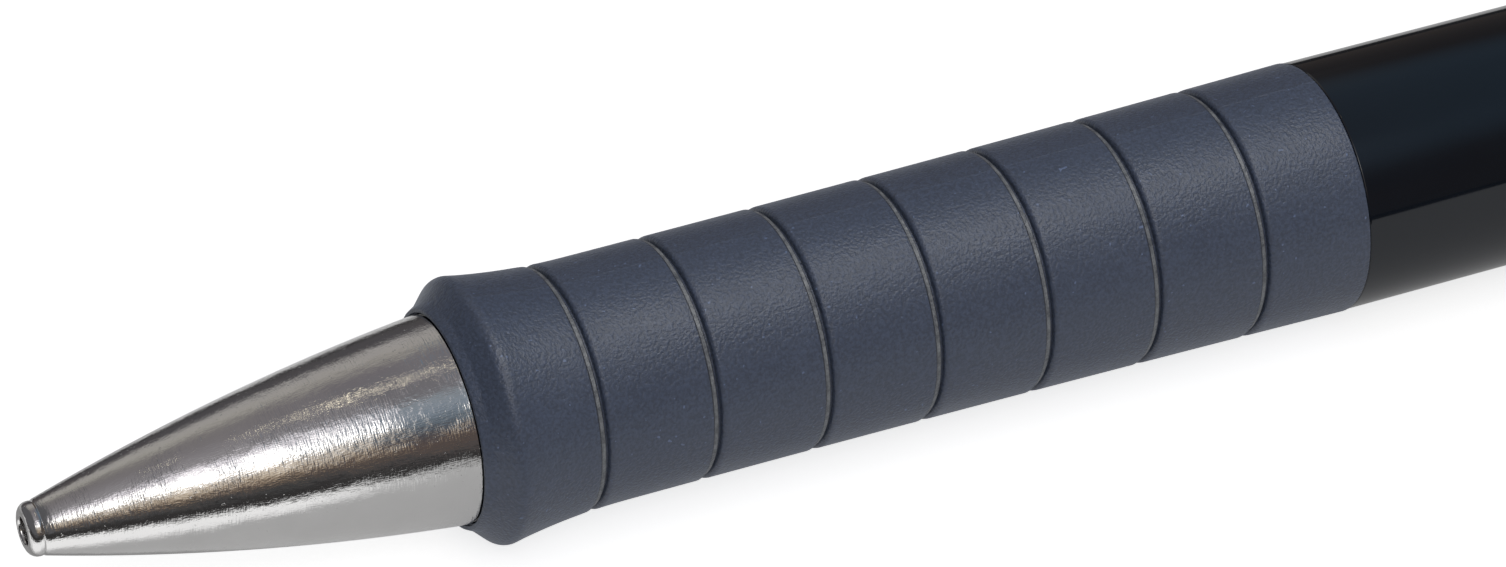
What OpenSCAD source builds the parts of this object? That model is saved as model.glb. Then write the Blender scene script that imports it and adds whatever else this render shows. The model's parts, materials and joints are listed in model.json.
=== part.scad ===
// Retractable gel pen with a screw-on chrome nose cone, a grooved rubber grip and a rotating-cam knock.
// Millimetres. The pen's axis is +X, the nose cone's front opening is the origin, and +Z is up.

/* [Nose cone] */
// Length of the cone, from its front face to its base
nose_len = 18.4; // [15:0.1:23]
// Diameter of the cone at its base
nose_base_d = 9.0; // [8.8:0.1:9.6]
// Diameter of the cone just behind its rounded front ring
nose_tip_d = 2.38; // [2.2:0.02:3]
// Length of the rounded front ring
nose_ring_len = 0.7; // [0.6:0.05:1]
// Radius of the rounding on the front ring
nose_ring_r = 0.5; // [0.3:0.05:0.55]
// Radius of the long arc that the cone's side follows
nose_arc_r = 107; // [80:1:200]
// Diameter of the opening that guides the needle
nose_hole_d = 1.24; // [1.2:0.02:1.5]
// Wall of the drawn metal cone
nose_wall = 0.42; // [0.3:0.02:0.6]
// Distance from the front face to the cavity behind the front opening
nose_cavity_x = 2.4; // [2:0.1:3]

/* [Nose insert] */
// Distance from the front face to the front of the moulded insert
insert_x = 6.5; // [6:0.1:8]
// Diameter of the insert's front bore, which the tip holder's neck passes
insert_neck_bore_d = 3.3; // [3.2:0.1:3.6]
// Distance from the front face to the shoulder that the spring stands on
spring_seat_x = 11; // [10.8:0.1:13]
// Length of the threaded spigot behind the cone
thread_len = 5.5; // [4:0.5:7]
// Pitch of the spigot's thread
thread_pitch = 0.75; // [0.5:0.05:1]
// Depth of the spigot's thread
thread_depth = 0.25; // [0.15:0.05:0.3]

/* [Grip] */
// Length of the rubber grip
grip_len = 40.54; // [34:0.01:50]
// Diameter of the grip's front edge
grip_lip_d = 9.44; // [9.3:0.02:10]
// Largest diameter of the flare behind the front edge
grip_flare_d = 11.51; // [11:0.1:14]
// Distance from the grip's front edge to the top of the flare
grip_flare_x = 1.3; // [1.2:0.02:2.4]
// Radius of the rounding over the top of the flare
grip_flare_round = 0.6; // [0.3:0.05:0.8]
// Radius of the hollow curve from the flare down to the waist
grip_hollow_r = 28; // [22:1:40]
// Diameter of the grip's waist
grip_waist_d = 10.46; // [10:0.02:12.6]
// Diameter of the grip at its rear end
grip_end_d = 11.08; // [10.8:0.02:13.4]
// Number of grooves around the grip
groove_count = 7; // [5:1:7]
// Distance from the grip's front edge to the middle of the first groove
groove_first = 5.05; // [4.8:0.05:6]
// Distance from one groove to the next
groove_pitch = 5.09; // [3:0.05:5.2]
// Width of a groove at its floor
groove_w = 0.45; // [0.3:0.05:0.6]
// Depth of a groove
groove_depth = 0.26; // [0.1:0.02:0.4]
// Rounding of a band's rear edge
band_rear_round = 0.24; // [0.1:0.02:0.4]
// Rounding of a band's front edge
band_front_round = 0.14; // [0.05:0.02:0.3]

/* [Barrel] */
// Outside diameter of the barrel
barrel_d = 11; // [10.9:0.1:14]
// Wall of the barrel and of the rear sleeve
barrel_wall = 1.0; // [0.9:0.05:1.1]
// Length of barrel that shows behind the grip
barrel_len = 41.0; // [30:0.1:50]
// Diameter of the seat under the grip
seat_d = 9.0; // [8.9:0.1:9.4]
// Wall of the seat over the nose thread
thread_wall = 0.55; // [0.45:0.05:0.65]

/* [Rear sleeve and collar] */
// Length of the trim ring between the barrel and the rear sleeve
trim_len = 1.2; // [0.8:0.1:2]
// Height of the trim ring above the barrel
trim_proud = 0.1; // [0:0.05:0.3]
// Length of the rear sleeve that shows
rear_len = 26.4; // [26.4:0.1:32]
// Length of the rear sleeve's spigot inside the barrel
rear_spigot_len = 8; // [5:0.5:12]
// Outside diameter of the end collar
collar_d = 11.51; // [11.5:0.01:14.5]
// Length of the end collar that shows
collar_len = 2.4; // [2:0.1:3]
// Length of the end collar's spigot inside the rear sleeve
collar_spigot_len = 3.6; // [2:0.1:3.8]
// Wall of the end collar's spigot
collar_spigot_wall = 0.45; // [0.35:0.05:0.5]

/* [Clip] */
// Width of the clip
clip_w = 4.4; // [3.4:0.1:5.4]
// Thickness of the clip's steel
clip_t = 0.6; // [0.4:0.05:0.8]
// Length of the clip's arm, forward of the clip's ring
clip_len = 37.6; // [30:0.1:46]
// Gap between the arm's inner face and the barrel
clip_gap = 1.7; // [1.2:0.1:3]
// Distance from the arm's tip back to its pressing bump
clip_bump_x = 3.6; // [3:0.1:6]
// Length over which the arm slopes down to its bump
clip_slope_len = 8; // [6:0.5:12]
// Depth of the hollow over the bump
clip_dip = 0.45; // [0.2:0.05:0.6]

/* [Push button and knock] */
// Diameter of the push button
button_d = 7.2; // [6:0.1:7.4]
// Length of button that stands out of the collar when the point is in
button_out = 11.4; // [8:0.1:14]
// Wall of the push button
button_wall = 1.1; // [0.8:0.05:1.3]
// Thickness of the push button's end
button_roof = 2.6; // [1.6:0.1:4]
// Rounding of the button's edge
button_round = 0.8; // [0.3:0.1:1.2]
// Travel from the point being in to the point being out
write_travel = 4.0; // [3.2:0.1:4.2]
// Extra travel in which the cam indexes
index_travel = 1.0; // [0.8:0.05:1.2]
// Number of grooves in the cam sleeve
cam_grooves = 4; // [3:1:5]
// Width of a cam groove
cam_groove_w = 2.0; // [1.4:0.1:2.2]
// Height of the ribs that ride in the cam grooves
cam_rib_h = 0.75; // [0.5:0.05:0.85]
// Wall of the cam sleeve behind its grooves
cam_wall = 0.5; // [0.4:0.05:0.6]
// Length of the rotor's ribs
rotor_rib_len = 4.0; // [3:0.1:4.4]
// Depth of the teeth on the rotor and the plunger
tooth_depth = 0.8; // [0.6:0.05:1]
// Width of the ring that carries the teeth
tooth_ring_w = 0.8; // [0.6:0.05:1]

/* [Refill] */
// Outside diameter of the refill's tube
refill_d = 6.1; // [5.8:0.1:7]
// Wall of the refill's tube
tube_wall = 0.5; // [0.4:0.05:0.6]
// Distance from the refill's tail to the rear sleeve's end, which the knock fills
knock_depth = 15.09; // [14.6:0.01:18]
// Depth of the ball behind the nose's front face when the point is in
point_inset = 1.2; // [1:0.1:2]
// Diameter of the writing ball
ball_d = 0.7; // [0.5:0.02:0.72]
// Outside diameter of the needle
pipe_d = 1.04; // [1:0.02:1.2]
// Wall of the needle
pipe_wall = 0.16; // [0.12:0.01:0.18]
// Length of the needle that stands out of its holder
pipe_out = 6.6; // [6.4:0.1:7]
// Length of the needle held in its holder
pipe_seat_len = 4; // [3:0.5:6]
// Diameter of the tip holder's neck
neck_d = 2.9; // [2.4:0.1:3.1]
// Diameter of the tip holder inside the retract spring
spring_guide_d = 3.5; // [3.2:0.1:3.8]
// Length of ink in the tube
ink_len = 56; // [20:1:60]
// Length of the grease plug behind the ink
grease_len = 5; // [3:0.5:8]

/* [Retract spring] */
// Wire of the retract spring
spring_wire_d = 0.45; // [0.35:0.01:0.5]
// Outside diameter of the retract spring
spring_d = 5.0; // [4.8:0.05:5.1]
// Length of the spring when the point is in
spring_len = 13; // [12.8:0.1:14]
// Number of turns of the retract spring
spring_turns = 11; // [8:1:13]

/* [Hidden] */
$fn = 96;

// Clearances
run_gap = 0.08;      // a shaft or rib that slides in its bore or groove
press_gap = 0.05;    // pieces pushed together and left there
glue_gap = 0.02;     // the bonded cone and insert
seat_gap = 0.05;     // faces that stop against each other
loose_gap = 0.25;    // the refill in the bores that it is dropped into
socket_gap = 0.015;  // the ball in its socket
tube_gap = 0.6;      // the refill's tube behind the nose's spigot, with the knock pressed right in
eps = 0.01;          // overshoot of a cut past the face that it opens

// Nose cone
nose_base_r = nose_base_d / 2;
nose_tip_r = nose_tip_d / 2;
nose_chord = [nose_len - nose_ring_len, nose_base_r - nose_tip_r];
nose_chord_dir = nose_chord / norm(nose_chord);
nose_arc_depth = sqrt(pow(nose_arc_r, 2) - pow(norm(nose_chord) / 2, 2));
nose_arc_x = (nose_ring_len + nose_len) / 2 + nose_arc_depth * nose_chord_dir[1];
nose_arc_y = (nose_tip_r + nose_base_r) / 2 - nose_arc_depth * nose_chord_dir[0];
function nose_r(x) = nose_arc_y + sqrt(pow(nose_arc_r, 2) - pow(x - nose_arc_x, 2));
nose_wall_steps = 6;
function nose_wall_line(from_x, inset) =
    [for (i = [0:nose_wall_steps])
        let (x = from_x + i * (nose_len - from_x) / nose_wall_steps) [x, nose_r(x) - inset]];

// Barrel
barrel_r = barrel_d / 2;
bore_r = barrel_r - barrel_wall;
seat_r = seat_d / 2;
seat_x = nose_len + seat_gap;
grip_x = seat_x;
grip_end_x = grip_x + grip_len;
barrel_end_x = grip_end_x + barrel_len;
thread_bore_r = seat_r - thread_wall;
thread_r = thread_bore_r - press_gap;
thread_end_x = nose_len + thread_len;
refill_r = refill_d / 2;
refill_bore_r = refill_r + loose_gap;
barrel_step_x = grip_end_x + 3;   // the bore widens just behind the grip

// Grip
grip_waist_r = grip_waist_d / 2;
grip_flare_r = grip_flare_d / 2;
grip_top_x = grip_x + grip_flare_x;
grip_waist_x = grip_top_x + sqrt(2 * grip_hollow_r * (grip_flare_r - grip_waist_r));
grip_swell = (grip_end_d - grip_waist_d) / 2 / pow(grip_end_x - grip_waist_x, 2);
function grip_r(x) = x < grip_waist_x
    ? grip_waist_r + pow(grip_waist_x - x, 2) / (2 * grip_hollow_r)
    : grip_waist_r + grip_swell * pow(x - grip_waist_x, 2);
function groove_x(i) = grip_x + groove_first + i * groove_pitch;

// Refill
tube_bore_r = refill_r - tube_wall;
pipe_r = pipe_d / 2;
ball_r = ball_d / 2;
ball_x = point_inset + ball_r;
neck_x = point_inset + pipe_out;
pipe_bore_r = pipe_r - pipe_wall;
pipe_end_x = neck_x + pipe_seat_len;
spring_r = spring_d / 2;
holder_shoulder_x = spring_seat_x + spring_len;
knock_travel = write_travel + index_travel;
holder_flange_r = spring_r + run_gap;
insert_bore_r = holder_flange_r + run_gap;
tube_x = max(thread_end_x, holder_shoulder_x) + knock_travel + tube_gap;
holder_plug_len = 6;
ink_x = tube_x + holder_plug_len;
tail_plug_len = 4.5;
tail_cap_len = 1.0;

// Rear sleeve, collar and knock
trim_end_x = barrel_end_x + trim_len;
rear_end_x = trim_end_x + rear_len;
rear_spigot_r = bore_r - press_gap;
cam_r = bore_r - press_gap;
cam_groove_r = cam_r - cam_wall;
cam_rib_r = cam_groove_r - run_gap;
cam_land_r = cam_groove_r - cam_rib_h;
cam_body_r = cam_land_r - run_gap;
cam_rib_w = cam_groove_w - 2 * run_gap;
refill_tail_x = rear_end_x - knock_depth;
cam_lead = 4.5;        // cam sleeve ahead of the rotor, with the knock pressed right in
rotor_foot_len = 1;    // plain foot of the rotor, which stands on the refill
rib_margin = 0.4;      // from a rib's end to the next face along the cam
cam_x = refill_tail_x - knock_travel - cam_lead;
rotor_rib_x = refill_tail_x + rotor_foot_len;
cam_land_x = rotor_rib_x + rotor_rib_len - write_travel;
rotor_face_x = rotor_rib_x + rotor_rib_len + tooth_depth;
tooth_mesh = 0.35;
tooth_count = 2 * cam_grooves;
tooth_ring_r = cam_body_r - tooth_ring_w;
tooth_w = 2 * PI * tooth_ring_r / tooth_count;
tooth_floor = 0.5;     // from the bottom of the teeth to the floor behind them
rotor_stem_r = 1.4;
rotor_stem_len = 4;
plunger_x = rotor_face_x - tooth_mesh;
plunger_rib_x = rotor_face_x + rib_margin;
plunger_rib_len = 2.6;
cam_end_x = plunger_rib_x + plunger_rib_len + rib_margin;
collar_x = rear_end_x + clip_t;
collar_end_x = collar_x + collar_len;
collar_step = 0.35;    // step in the rear sleeve that the collar's spigot stops on
collar_spigot_r = bore_r + collar_step;
collar_lip_len = 1.8;
flange_end_x = collar_end_x - collar_lip_len - seat_gap;
flange_len = 1.2;
flange_r = collar_spigot_r - collar_spigot_wall - run_gap;
button_r = button_d / 2;
button_end_x = collar_end_x + button_out;
button_bore_r = button_r - button_wall;
button_roof_x = button_end_x - button_roof;
plunger_stem_r = button_bore_r - press_gap;

// Clip: its arm leans on the surface that the pen lies on, together with the flare and the collar
rest_r = max(grip_flare_r, collar_d / 2);
clip_in_r = barrel_r + clip_gap;
clip_out_r = clip_in_r + clip_t;
clip_turn = 90 + asin(rest_r / norm([clip_out_r, clip_w / 2])) - atan2(clip_w / 2, clip_out_r);
clip_tip_x = rear_end_x - clip_len;
clip_split = 0.1;

// A solid turned about the pen's axis from an outline of [x, radius] points
module lathe(outline) {
    rotate([0, 90, 0])
        rotate_extrude()
            polygon([for (p = outline) [p[1], p[0]]]);
}

// A tube between two places on the axis
module tube(x0, x1, outer, inner) {
    lathe([[x0, inner], [x0, outer], [x1, outer], [x1, inner]]);
}

// A rod between two places on the axis
module rod(x0, x1, radius) {
    translate([x0, 0, 0]) rotate([0, 90, 0]) cylinder(r = radius, h = x1 - x0);
}

// Wire swept along a list of [x, radius, angle] points about the axis
function on_axis(p) = [p[0], p[1] * cos(p[2]), p[1] * sin(p[2])];
function unit(v) = v / norm(v);
module wire(path, wire_r, sides) {
    last = len(path) - 1;
    places = [for (p = path) on_axis(p)];
    points = [for (i = [0:last])
        let (
            along = unit(places[min(i + 1, last)] - places[max(i - 1, 0)]),
            out = [0, cos(path[i][2]), sin(path[i][2])],
            side = unit(out - (out * along) * along),
            other = cross(along, side)
        )
        for (k = [0:sides - 1])
            places[i] + wire_r * (cos(360 * k / sides) * side + sin(360 * k / sides) * other)];
    walls = [for (i = [0:last - 1]) for (k = [0:sides - 1])
        let (a = i * sides + k, b = i * sides + (k + 1) % sides)
        each [[a, a + sides, b + sides], [a, b + sides, b]]];
    start_cap = [for (k = [0:sides - 1]) k];
    end_cap = [for (k = [sides - 1:-1:0]) last * sides + k];
    polyhedron(points = points, faces = concat([start_cap], walls, [end_cap]), convexity = 10);
}

// V-shaped cuts across a crown of teeth. The cuts open at face_x, along +X for a positive depth
module tooth_cuts(face_x, depth, turn) {
    for (i = [0:tooth_count - 1])
        rotate([turn + i * 360 / tooth_count, 0, 0])
            linear_extrude(height = barrel_r)
                polygon([
                    [face_x - depth, 0],
                    [face_x + eps * depth, tooth_w / 2],
                    [face_x + eps * depth, -tooth_w / 2]
                ]);
}

// Ribs around the axis between two places, each a bar of the given width
module ribs(x0, x1, inner, outer, width) {
    for (i = [0:cam_grooves - 1])
        rotate([i * 360 / cam_grooves, 0, 0])
            translate([x0, -width / 2, inner])
                cube([x1 - x0, width, outer - inner]);
}

// The cone's side, a long arc from the front ring to the base
module nose_ogive() {
    steps = 24;
    lathe(concat([[nose_ring_len, 0]],
        [for (i = [0:steps])
            let (x = nose_ring_len + i * (nose_len - nose_ring_len) / steps) [x, nose_r(x)]],
        [[nose_len, 0]]));
}

// The bull-nosed ring at the very front
module nose_ring() {
    rotate([0, 90, 0]) rotate_extrude() {
        translate([nose_tip_r - nose_ring_r, nose_ring_r]) circle(r = nose_ring_r);
        square([nose_tip_r - nose_ring_r, nose_ring_len]);
        translate([0, nose_ring_r]) square([nose_tip_r, nose_ring_len - nose_ring_r]);
    }
}

module nose_cone() {
    color("gainsboro") difference() {
        union() {
            nose_ring();
            nose_ogive();
        }
        rod(-eps, nose_len, nose_hole_d / 2);
        lathe(concat([[nose_cavity_x, 0]], nose_wall_line(nose_cavity_x, nose_wall),
            [[nose_len + eps, nose_base_r - nose_wall], [nose_len + eps, 0]]));
    }
}

module nose_insert() {
    thread_half_w = thread_pitch / 2.4;
    shell = [for (p = nose_wall_line(nose_cavity_x, nose_wall + glue_gap)) if (p[0] > insert_x) p];
    color("dimgray") difference() {
        union() {
            lathe(concat([[insert_x, 0], [insert_x, nose_r(insert_x) - nose_wall - glue_gap]], shell,
                [[nose_len, 0]]));
            rod(nose_len - eps, thread_end_x, thread_r);
        }
        rod(insert_x - eps, spring_seat_x + eps, insert_neck_bore_d / 2);
        rod(spring_seat_x, thread_end_x + eps, insert_bore_r);
        for (x = [nose_len + thread_pitch:thread_pitch:thread_end_x - thread_pitch])
            lathe([
                [x - thread_half_w, thread_r + eps],
                [x, thread_r - thread_depth],
                [x + thread_half_w, thread_r + eps]
            ]);
    }
}

// Outline of one rubber band between two grooves, from its front edge to its rear edge
function band(x0, x1) = [
    [x0, grip_r(x0) - groove_depth],
    [x0, grip_r(x0) - band_front_round],
    [x0 + band_front_round / 3, grip_r(x0) - band_front_round / 3],
    [x0 + band_front_round, grip_r(x0)],
    [x1 - band_rear_round, grip_r(x1)],
    [x1 - band_rear_round / 3, grip_r(x1) - band_rear_round / 3],
    [x1, grip_r(x1) - band_rear_round],
    [x1, grip_r(x1) - groove_depth]
];

module grip_sleeve() {
    first_end_x = groove_x(0) - groove_w / 2;
    flare_steps = 8;
    face_turn = 52;
    round_x = grip_top_x - grip_flare_round / 6;
    color("#3e4450") difference() {
        rotate([0, 90, 0]) rotate_extrude() {
            translate([grip_flare_r - grip_flare_round, round_x]) circle(r = grip_flare_round);
            polygon([for (p = concat(
                [
                    [grip_x + seat_gap, 0],
                    [grip_x + seat_gap, grip_lip_d / 2],
                    [round_x - grip_flare_round * sin(face_turn),
                        grip_flare_r - grip_flare_round * (1 - cos(face_turn))],
                    [round_x, grip_flare_r - grip_flare_round],
                    [round_x, grip_flare_r]
                ],
                [for (i = [0:flare_steps - 1])
                    let (x = grip_top_x + i * (first_end_x - band_rear_round - grip_top_x) / flare_steps)
                    [x, grip_r(x)]],
                [for (i = [4:7]) band(grip_x, first_end_x)[i]],
                [for (i = [1:groove_count])
                    each band(groove_x(i - 1) + groove_w / 2,
                        i == groove_count ? grip_end_x : groove_x(i) - groove_w / 2)],
                [[grip_end_x, 0]]
            )) [p[1], p[0]]]);
        }
        rod(grip_x, grip_end_x + eps, seat_r);
    }
}

module barrel() {
    edge = 0.15;
    color("#14171c") difference() {
        lathe([
            [seat_x, 0],
            [seat_x, seat_r],
            [grip_end_x, seat_r],
            [grip_end_x, barrel_r - edge],
            [grip_end_x + edge, barrel_r],
            [barrel_end_x - edge, barrel_r],
            [barrel_end_x, barrel_r - edge],
            [barrel_end_x, 0]
        ]);
        rod(seat_x - eps, thread_end_x + loose_gap, thread_bore_r);
        rod(seat_x, barrel_end_x, refill_bore_r);
        rod(barrel_step_x, barrel_end_x + eps, bore_r);
    }
}

module trim_ring() {
    edge = 0.2;
    outer = barrel_r + trim_proud;
    color("silver") lathe([
        [barrel_end_x, rear_spigot_r + press_gap],
        [barrel_end_x, outer - edge],
        [barrel_end_x + edge, outer],
        [trim_end_x - edge, outer],
        [trim_end_x, outer - edge],
        [trim_end_x, rear_spigot_r + press_gap]
    ]);
}

module rear_sleeve() {
    color("#14171c") difference() {
        union() {
            rod(barrel_end_x - rear_spigot_len, trim_end_x, rear_spigot_r);
            rod(trim_end_x, rear_end_x, barrel_r);
        }
        rod(barrel_end_x - rear_spigot_len - eps, cam_x + eps, refill_bore_r);
        rod(cam_x, rear_end_x + eps, bore_r);
        rod(rear_end_x - collar_spigot_len - loose_gap, rear_end_x + eps, collar_spigot_r + press_gap);
    }
}

module clip_ring() {
    color("silver") difference() {
        union() {
            rod(rear_end_x, collar_x, barrel_r);
            rotate([clip_turn, 0, 0])
                translate([rear_end_x, -clip_w / 2, 0])
                    cube([clip_t, clip_w, clip_in_r]);
        }
        rod(rear_end_x - eps, collar_x + eps, collar_spigot_r + press_gap);
    }
}

// The clip's arm is a strip whose tip turns up and whose bump presses on the barrel
module clip_arm() {
    bump_x = clip_tip_x + clip_bump_x;
    bump_r = barrel_r + seat_gap;
    bump_half_w = 0.5;
    bump_slope = 0.35;
    tip_x = clip_tip_x + clip_w / 2;
    color("silver") rotate([clip_turn, 0, 0]) intersection() {
        translate([0, clip_w / 2, 0])
            rotate([90, 0, 0])
                linear_extrude(height = clip_w)
                    polygon([
                        [collar_x, clip_in_r + clip_split],
                        [collar_x, clip_out_r],
                        [bump_x + clip_slope_len, clip_out_r],
                        [bump_x, clip_out_r - clip_dip],
                        [clip_tip_x, clip_out_r],
                        [clip_tip_x, clip_out_r - clip_t],
                        [bump_x - 2 * bump_half_w, bump_r + bump_slope],
                        [bump_x - bump_half_w, bump_r],
                        [bump_x + bump_half_w, bump_r],
                        [bump_x + 3 * bump_half_w, bump_r + bump_slope],
                        [bump_x + clip_slope_len, clip_in_r + clip_split]
                    ]);
        union() {
            translate([tip_x, 0, 0]) cylinder(r = clip_w / 2, h = 2 * clip_out_r);
            translate([tip_x, -clip_w, 0]) cube([collar_x - clip_tip_x, 2 * clip_w, 2 * clip_out_r]);
        }
    }
}

module end_collar() {
    edge = 0.5;
    outer = collar_d / 2;
    color("gainsboro") difference() {
        union() {
            lathe([
                [collar_x, 0],
                [collar_x, outer - edge / 2],
                [collar_x + edge / 2, outer],
                [collar_end_x - edge, outer],
                [collar_end_x - edge / 3, outer - edge / 3],
                [collar_end_x, outer - edge],
                [collar_end_x, 0]
            ]);
            rod(rear_end_x - collar_spigot_len, collar_x + eps, collar_spigot_r);
        }
        rod(rear_end_x - collar_spigot_len - eps, collar_end_x - collar_lip_len,
            collar_spigot_r - collar_spigot_wall);
        rod(collar_x, collar_end_x + eps, button_r + run_gap);
    }
}

module cam_sleeve() {
    color("whitesmoke") difference() {
        rod(cam_x, cam_end_x, cam_r);
        rod(cam_x - eps, cam_land_x, cam_groove_r);
        rod(cam_x, cam_end_x + eps, cam_land_r);
        ribs(cam_x, cam_end_x + eps, 0, cam_groove_r, cam_groove_w);
        // Pockets in the ends of the lands, where the rotor's ribs catch when the point is out
        rotate([180 / cam_grooves, 0, 0])
            for (i = [0:cam_grooves - 1])
                rotate([i * 360 / cam_grooves, 0, 0])
                    linear_extrude(height = cam_groove_r)
                        polygon([
                            [cam_land_x - eps, -cam_groove_w / 2],
                            [cam_land_x - eps, cam_groove_w / 2],
                            [cam_land_x + tooth_depth, cam_groove_w / 2]
                        ]);
    }
}

module cam_rotor() {
    stem_root_x = rotor_face_x - tooth_depth - tooth_floor;
    color("ivory") union() {
        difference() {
            rod(refill_tail_x, rotor_face_x, cam_body_r);
            rod(stem_root_x, rotor_face_x + eps, tooth_ring_r);
            tooth_cuts(rotor_face_x, tooth_depth, 0);
        }
        rod(stem_root_x - eps, rotor_face_x + rotor_stem_len, rotor_stem_r);
        difference() {
            ribs(rotor_rib_x, rotor_rib_x + rotor_rib_len, cam_body_r / 2, cam_rib_r, cam_rib_w);
            tooth_cuts(rotor_face_x, tooth_depth, 0);
        }
    }
}

module knock_plunger() {
    color("ivory") difference() {
        union() {
            rod(plunger_x, flange_end_x - flange_len, cam_body_r);
            rod(flange_end_x - flange_len - eps, button_roof_x, plunger_stem_r);
            ribs(plunger_rib_x, plunger_rib_x + plunger_rib_len, cam_body_r / 2, cam_rib_r, cam_rib_w);
        }
        tooth_cuts(plunger_x, -tooth_depth, 180 / tooth_count);
        rod(plunger_x - eps, plunger_x + tooth_depth + tooth_floor, tooth_ring_r);
        rod(plunger_x, rotor_face_x + rotor_stem_len + rib_margin, rotor_stem_r + run_gap);
    }
}

module push_button() {
    color("gainsboro") difference() {
        union() {
            rod(flange_end_x - flange_len, flange_end_x, flange_r);
            rod(flange_end_x - eps, button_end_x - button_round, button_r);
            rotate([0, 90, 0]) rotate_extrude() {
                translate([button_r - button_round, button_end_x - button_round]) circle(r = button_round);
                translate([0, button_end_x - 2 * button_round])
                    square([button_r - button_round, 2 * button_round]);
            }
        }
        rod(flange_end_x - flange_len - eps, button_roof_x, button_bore_r);
    }
}

// Closed turns at both ends, and evenly open turns between them
function coil_rise(t, turns, wire_d, length) =
    let (closed = 1.25, open_pitch = (length - wire_d * (1 + 2 * closed)) / (turns - 2 * closed))
    t < closed ? t * wire_d
    : t > turns - closed ? length - wire_d - (turns - t) * wire_d
    : closed * wire_d + (t - closed) * open_pitch;

module retract_spring() {
    steps = 20;
    color("lightgray") wire(
        [for (i = [0:spring_turns * steps])
            [spring_seat_x + spring_wire_d / 2
                + coil_rise(i / steps, spring_turns, spring_wire_d, spring_len),
                spring_r - spring_wire_d / 2, i * 360 / steps]],
        spring_wire_d / 2, 6);
}

module refill_tube() {
    color("lightsteelblue") tube(tube_x, refill_tail_x - tail_cap_len, refill_r, tube_bore_r);
}

module tip_holder() {
    ink_bore_r = 0.6;
    front_wall = 0.35;
    front_taper_len = 3;
    guide_len = 5;
    guide_taper_len = 1;
    color("white") difference() {
        lathe([
            [neck_x, 0],
            [neck_x, pipe_r + front_wall],
            [neck_x + front_taper_len, neck_d / 2],
            [holder_shoulder_x - guide_len - guide_taper_len, neck_d / 2],
            [holder_shoulder_x - guide_len, spring_guide_d / 2],
            [holder_shoulder_x, spring_guide_d / 2],
            [holder_shoulder_x, holder_flange_r],
            [tube_x, holder_flange_r],
            [tube_x, tube_bore_r],
            [ink_x, tube_bore_r],
            [ink_x, 0]
        ]);
        rod(neck_x - eps, pipe_end_x, pipe_r);
        rod(neck_x, ink_x + eps, ink_bore_r);
    }
}

// The needle's crimped end closes over the front of the ball
module needle_pipe() {
    crimp_x = ball_x - ball_r / 2;
    crimp_len = 0.7;
    feed_r = 0.6 * ball_r;
    color("silver") difference() {
        lathe([
            [crimp_x, 0],
            [crimp_x, ball_r + glue_gap],
            [crimp_x + crimp_len, pipe_r],
            [pipe_end_x, pipe_r],
            [pipe_end_x, 0]
        ]);
        translate([ball_x, 0, 0]) sphere(r = ball_r + socket_gap);
        rod(ball_x, ball_x + 2 * ball_d, feed_r);
        rod(ball_x + ball_d, pipe_end_x + eps, pipe_bore_r);
    }
}

module writing_ball() {
    color("dimgray") translate([ball_x, 0, 0]) sphere(r = ball_r);
}

// A straight feeler behind the ball, wound into a small coil in the needle
module ball_spring() {
    wire_r = 0.05;
    coil_r = pipe_bore_r - wire_r - glue_gap;
    steps = 10;
    turns = 9;
    pitch = 0.5;
    feeler_len = 0.5;
    start_x = ball_x + ball_r + wire_r;
    coil_x = start_x + feeler_len;
    color("silver") wire(
        concat(
            [[start_x, 0, 0], [(start_x + coil_x) / 2, 0, 0]],
            [for (i = [0:turns * steps])
                [coil_x + pitch * i / steps, coil_r * min(1, i / steps), i * 360 / steps]]),
        wire_r, 5);
}

module gel_ink() {
    color("black") rod(ink_x, ink_x + ink_len, tube_bore_r);
}

module grease_plug() {
    color("khaki") rod(ink_x + ink_len, ink_x + ink_len + grease_len, tube_bore_r);
}

// The vented plug that the rotor pushes
module tail_plug() {
    vent_r = 0.6;
    slot_w = 0.6;
    slot_depth = 0.4;
    color("white") difference() {
        union() {
            rod(refill_tail_x - tail_cap_len, refill_tail_x, refill_r);
            rod(refill_tail_x - tail_plug_len, refill_tail_x - tail_cap_len + eps, tube_bore_r);
        }
        rod(refill_tail_x - tail_plug_len - eps, refill_tail_x + eps, vent_r);
        translate([refill_tail_x - slot_depth, -slot_w / 2, -refill_r - eps])
            cube([slot_depth + eps, slot_w, 2 * (refill_r + eps)]);
    }
}

nose_cone();
nose_insert();
grip_sleeve();
barrel();
trim_ring();
rear_sleeve();
clip_ring();
clip_arm();
end_collar();
cam_sleeve();
cam_rotor();
knock_plunger();
push_button();
retract_spring();
refill_tube();
tip_holder();
needle_pipe();
writing_ball();
ball_spring();
gel_ink();
grease_plug();
tail_plug();
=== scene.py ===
"""Looks of a retractable gel pen, from its chrome nose cone and grooved rubber grip to its push button."""

import json
import math

import bmesh
import bpy
from mathutils import Matrix, Vector


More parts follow.
